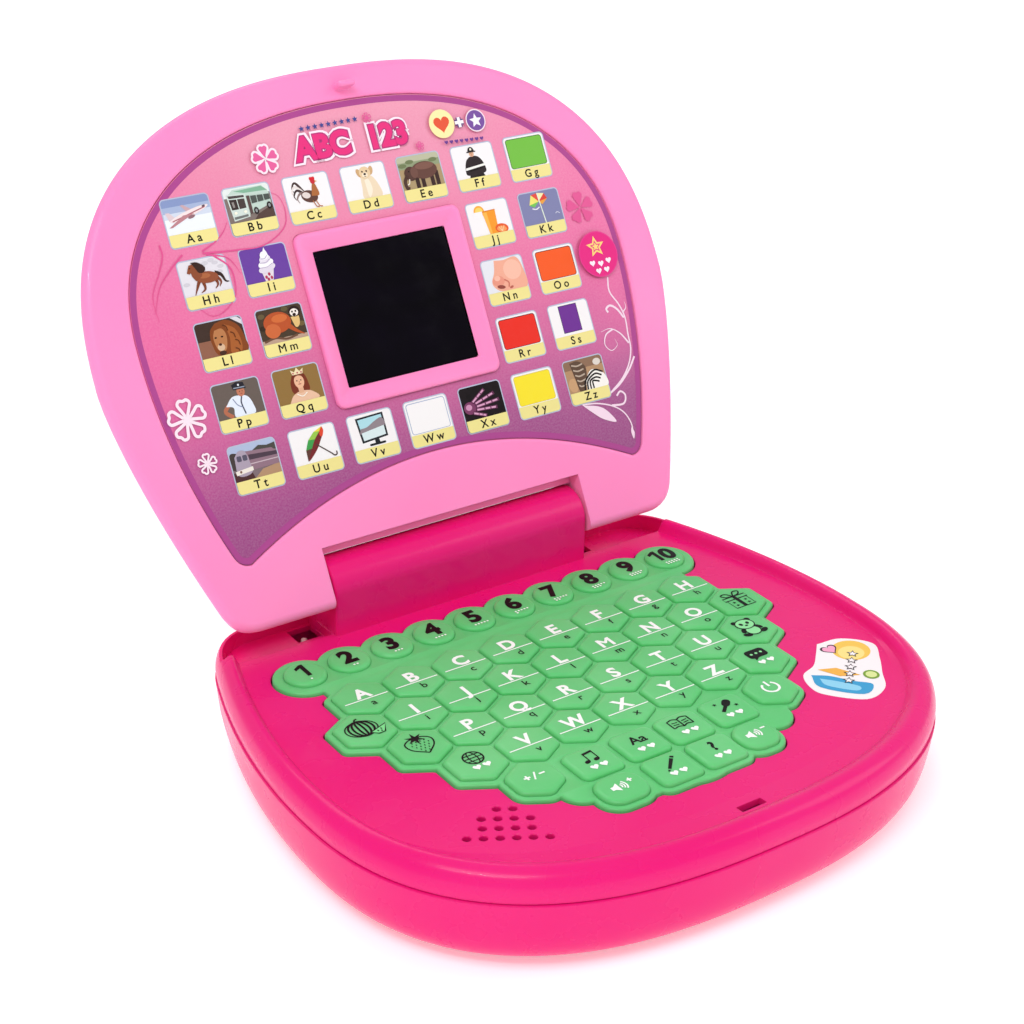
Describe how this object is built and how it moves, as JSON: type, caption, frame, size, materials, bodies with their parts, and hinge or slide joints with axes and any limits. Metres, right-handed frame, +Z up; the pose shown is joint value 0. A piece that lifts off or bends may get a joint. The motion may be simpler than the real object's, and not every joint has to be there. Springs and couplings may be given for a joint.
{
  "type": "toy laptop computer",
  "caption": "Child's clamshell toy laptop: rounded base with a soft keypad and speaker, and a hinged picture lid with a small screen that folds flat over the keys.",
  "frame": {"origin": "on the table under the middle of the opened toy's bounding box", "axes": "+X to the user's right along the hinge, -Y towards the user, +Z up; at rest the lid is open against its stop"},
  "size_m": [0.216, 0.2466, 0.1918],
  "materials": {
    "base_plastic": "glossy magenta ABS, faint flow marks",
    "lid_plastic": "satin light pink ABS with a fine grain",
    "keypad_silicone": "soft satin silicone, slightly translucent",
    "printed_card": "printed card, semi-gloss",
    "screen": "dark polished window",
    "circuit_board": "green solder mask",
    "steel": "zinc plated",
    "contact_metal": "bright strip",
    "black_plastic": "black",
    "cell_jacket": "plain printed sleeve",
    "foot_rubber": "matt",
    "lead": "white insulated lead"
  },
  "bodies": {
    "base": {"base_bottom_shell": "base_plastic", "base_top_cover": "base_plastic", "keypad_mat": "keypad_silicone", "main_circuit_board": "circuit_board", "speaker_frame": "steel", "speaker_cone": "black_plastic", "aa_cell_1": "cell_jacket", "aa_cell_2": "cell_jacket", "aa_cell_3": "cell_jacket", "battery_contact_left": "contact_metal", "battery_contact_right": "contact_metal", "foot_pad_1": "foot_rubber", "foot_pad_2": "foot_rubber", "foot_pad_3": "foot_rubber", "foot_pad_4": "foot_rubber", "case_screw_1": "steel", "case_screw_2": "steel", "case_screw_3": "steel", "case_screw_4": "steel", "display_cable_base": "lead"},
    "lid": {"lid_front_bezel": "lid_plastic", "lid_back_shell": "lid_plastic", "picture_card": "printed_card", "screen_window": "screen", "lcd_panel": "black_plastic", "display_cable_lid": "lead", "hinge_pin_left": "steel", "hinge_pin_right": "steel"},
    "battery_door": {"battery_door": "base_plastic", "battery_door_screw": "steel"},
    "number_key_1": {"number_key_1": "keypad_silicone"},
    "number_key_2": {"number_key_2": "keypad_silicone"},
    "number_key_3": {"number_key_3": "keypad_silicone"},
    "number_key_4": {"number_key_4": "keypad_silicone"},
    "number_key_5": {"number_key_5": "keypad_silicone"},
    "number_key_6": {"number_key_6": "keypad_silicone"},
    "number_key_7": {"number_key_7": "keypad_silicone"},
    "number_key_8": {"number_key_8": "keypad_silicone"},
    "number_key_9": {"number_key_9": "keypad_silicone"},
    "number_key_10": {"number_key_10": "keypad_silicone"},
    "letter_key_row_1": {"letter_key_row_1": "keypad_silicone"},
    "letter_key_row_2": {"letter_key_row_2": "keypad_silicone"},
    "letter_key_row_3": {"letter_key_row_3": "keypad_silicone"},
    "letter_key_row_4": {"letter_key_row_4": "keypad_silicone"},
    "melon_key": {"melon_key": "keypad_silicone"},
    "present_key": {"present_key": "keypad_silicone"},
    "strawberry_key": {"strawberry_key": "keypad_silicone"},
    "bear_key": {"bear_key": "keypad_silicone"},
    "first_language_key": {"first_language_key": "keypad_silicone"},
    "second_language_key": {"second_language_key": "keypad_silicone"},
    "plus_minus_key": {"plus_minus_key": "keypad_silicone"},
    "music_key": {"music_key": "keypad_silicone"},
    "letter_mode_key": {"letter_mode_key": "keypad_silicone"},
    "word_mode_key": {"word_mode_key": "keypad_silicone"},
    "singing_key": {"singing_key": "keypad_silicone"},
    "power_key": {"power_key": "keypad_silicone"},
    "volume_up_key": {"volume_up_key": "keypad_silicone"},
    "spelling_key": {"spelling_key": "keypad_silicone"},
    "asking_key": {"asking_key": "keypad_silicone"},
    "volume_down_key": {"volume_down_key": "keypad_silicone"}
  },
  "joints": [
    {"name": "lid_hinge", "type": "hinge", "parent": "base", "child": "lid", "pos_m": [0, 0.04525, 0.046], "axis": [1, 0, 0], "range_deg": [0, 118.7]},
    {"name": "battery_door_slide", "type": "slide", "parent": "base", "child": "battery_door", "axis": [0, 0, -1], "range_m": [0, 0.012]},
    {"name": "number_key_1_press", "type": "slide", "parent": "base", "child": "number_key_1", "axis": [0, 0, -1], "range_m": [0, 0.0009], "stiffness_N_per_m": 800, "springref_m": -0.0005},
    {"name": "number_key_2_press", "type": "slide", "parent": "base", "child": "number_key_2", "axis": [0, 0, -1], "range_m": [0, 0.0009], "stiffness_N_per_m": 800, "springref_m": -0.0005},
    {"name": "number_key_3_press", "type": "slide", "parent": "base", "child": "number_key_3", "axis": [0, 0, -1], "range_m": [0, 0.0009], "stiffness_N_per_m": 800, "springref_m": -0.0005},
    {"name": "number_key_4_press", "type": "slide", "parent": "base", "child": "number_key_4", "axis": [0, 0, -1], "range_m": [0, 0.0009], "stiffness_N_per_m": 800, "springref_m": -0.0005},
    {"name": "number_key_5_press", "type": "slide", "parent": "base", "child": "number_key_5", "axis": [0, 0, -1], "range_m": [0, 0.0009], "stiffness_N_per_m": 800, "springref_m": -0.0005},
    {"name": "number_key_6_press", "type": "slide", "parent": "base", "child": "number_key_6", "axis": [0, 0, -1], "range_m": [0, 0.0009], "stiffness_N_per_m": 800, "springref_m": -0.0005},
    {"name": "number_key_7_press", "type": "slide", "parent": "base", "child": "number_key_7", "axis": [0, 0, -1], "range_m": [0, 0.0009], "stiffness_N_per_m": 800, "springref_m": -0.0005},
    {"name": "number_key_8_press", "type": "slide", "parent": "base", "child": "number_key_8", "axis": [0, 0, -1], "range_m": [0, 0.0009], "stiffness_N_per_m": 800, "springref_m": -0.0005},
    {"name": "number_key_9_press", "type": "slide", "parent": "base", "child": "number_key_9", "axis": [0, 0, -1], "range_m": [0, 0.0009], "stiffness_N_per_m": 800, "springref_m": -0.0005},
    {"name": "number_key_10_press", "type": "slide", "parent": "base", "child": "number_key_10", "axis": [0, 0, -1], "range_m": [0, 0.0009], "stiffness_N_per_m": 800, "springref_m": -0.0005},
    {"name": "letter_key_row_1_press", "type": "slide", "parent": "base", "child": "letter_key_row_1", "axis": [0, 0, -1], "range_m": [0, 0.0009], "stiffness_N_per_m": 800, "springref_m": -0.0005},
    {"name": "letter_key_row_2_press", "type": "slide", "parent": "base", "child": "letter_key_row_2", "axis": [0, 0, -1], "range_m": [0, 0.0009], "stiffness_N_per_m": 800, "springref_m": -0.0005},
    {"name": "letter_key_row_3_press", "type": "slide", "parent": "base", "child": "letter_key_row_3", "axis": [0, 0, -1], "range_m": [0, 0.0009], "stiffness_N_per_m": 800, "springref_m": -0.0005},
    {"name": "letter_key_row_4_press", "type": "slide", "parent": "base", "child": "letter_key_row_4", "axis": [0, 0, -1], "range_m": [0, 0.0009], "stiffness_N_per_m": 800, "springref_m": -0.0005},
    {"name": "melon_key_press", "type": "slide", "parent": "base", "child": "melon_key", "axis": [0, 0, -1], "range_m": [0, 0.0009], "stiffness_N_per_m": 800, "springref_m": -0.0005},
    {"name": "present_key_press", "type": "slide", "parent": "base", "child": "present_key", "axis": [0, 0, -1], "range_m": [0, 0.0009], "stiffness_N_per_m": 800, "springref_m": -0.0005},
    {"name": "strawberry_key_press", "type": "slide", "parent": "base", "child": "strawberry_key", "axis": [0, 0, -1], "range_m": [0, 0.0009], "stiffness_N_per_m": 800, "springref_m": -0.0005},
    {"name": "bear_key_press", "type": "slide", "parent": "base", "child": "bear_key", "axis": [0, 0, -1], "range_m": [0, 0.0009], "stiffness_N_per_m": 800, "springref_m": -0.0005},
    {"name": "first_language_key_press", "type": "slide", "parent": "base", "child": "first_language_key", "axis": [0, 0, -1], "range_m": [0, 0.0009], "stiffness_N_per_m": 800, "springref_m": -0.0005},
    {"name": "second_language_key_press", "type": "slide", "parent": "base", "child": "second_language_key", "axis": [0, 0, -1], "range_m": [0, 0.0009], "stiffness_N_per_m": 800, "springref_m": -0.0005},
    {"name": "plus_minus_key_press", "type": "slide", "parent": "base", "child": "plus_minus_key", "axis": [0, 0, -1], "range_m": [0, 0.0009], "stiffness_N_per_m": 800, "springref_m": -0.0005},
    {"name": "music_key_press", "type": "slide", "parent": "base", "child": "music_key", "axis": [0, 0, -1], "range_m": [0, 0.0009], "stiffness_N_per_m": 800, "springref_m": -0.0005},
    {"name": "letter_mode_key_press", "type": "slide", "parent": "base", "child": "letter_mode_key", "axis": [0, 0, -1], "range_m": [0, 0.0009], "stiffness_N_per_m": 800, "springref_m": -0.0005},
    {"name": "word_mode_key_press", "type": "slide", "parent": "base", "child": "word_mode_key", "axis": [0, 0, -1], "range_m": [0, 0.0009], "stiffness_N_per_m": 800, "springref_m": -0.0005},
    {"name": "singing_key_press", "type": "slide", "parent": "base", "child": "singing_key", "axis": [0, 0, -1], "range_m": [0, 0.0009], "stiffness_N_per_m": 800, "springref_m": -0.0005},
    {"name": "power_key_press", "type": "slide", "parent": "base", "child": "power_key", "axis": [0, 0, -1], "range_m": [0, 0.0009], "stiffness_N_per_m": 800, "springref_m": -0.0005},
    {"name": "volume_up_key_press", "type": "slide", "parent": "base", "child": "volume_up_key", "axis": [0, 0, -1], "range_m": [0, 0.0009], "stiffness_N_per_m": 800, "springref_m": -0.0005},
    {"name": "spelling_key_press", "type": "slide", "parent": "base", "child": "spelling_key", "axis": [0, 0, -1], "range_m": [0, 0.0009], "stiffness_N_per_m": 800, "springref_m": -0.0005},
    {"name": "asking_key_press", "type": "slide", "parent": "base", "child": "asking_key", "axis": [0, 0, -1], "range_m": [0, 0.0009], "stiffness_N_per_m": 800, "springref_m": -0.0005},
    {"name": "volume_down_key_press", "type": "slide", "parent": "base", "child": "volume_down_key", "axis": [0, 0, -1], "range_m": [0, 0.0009], "stiffness_N_per_m": 800, "springref_m": -0.0005}
  ]
}
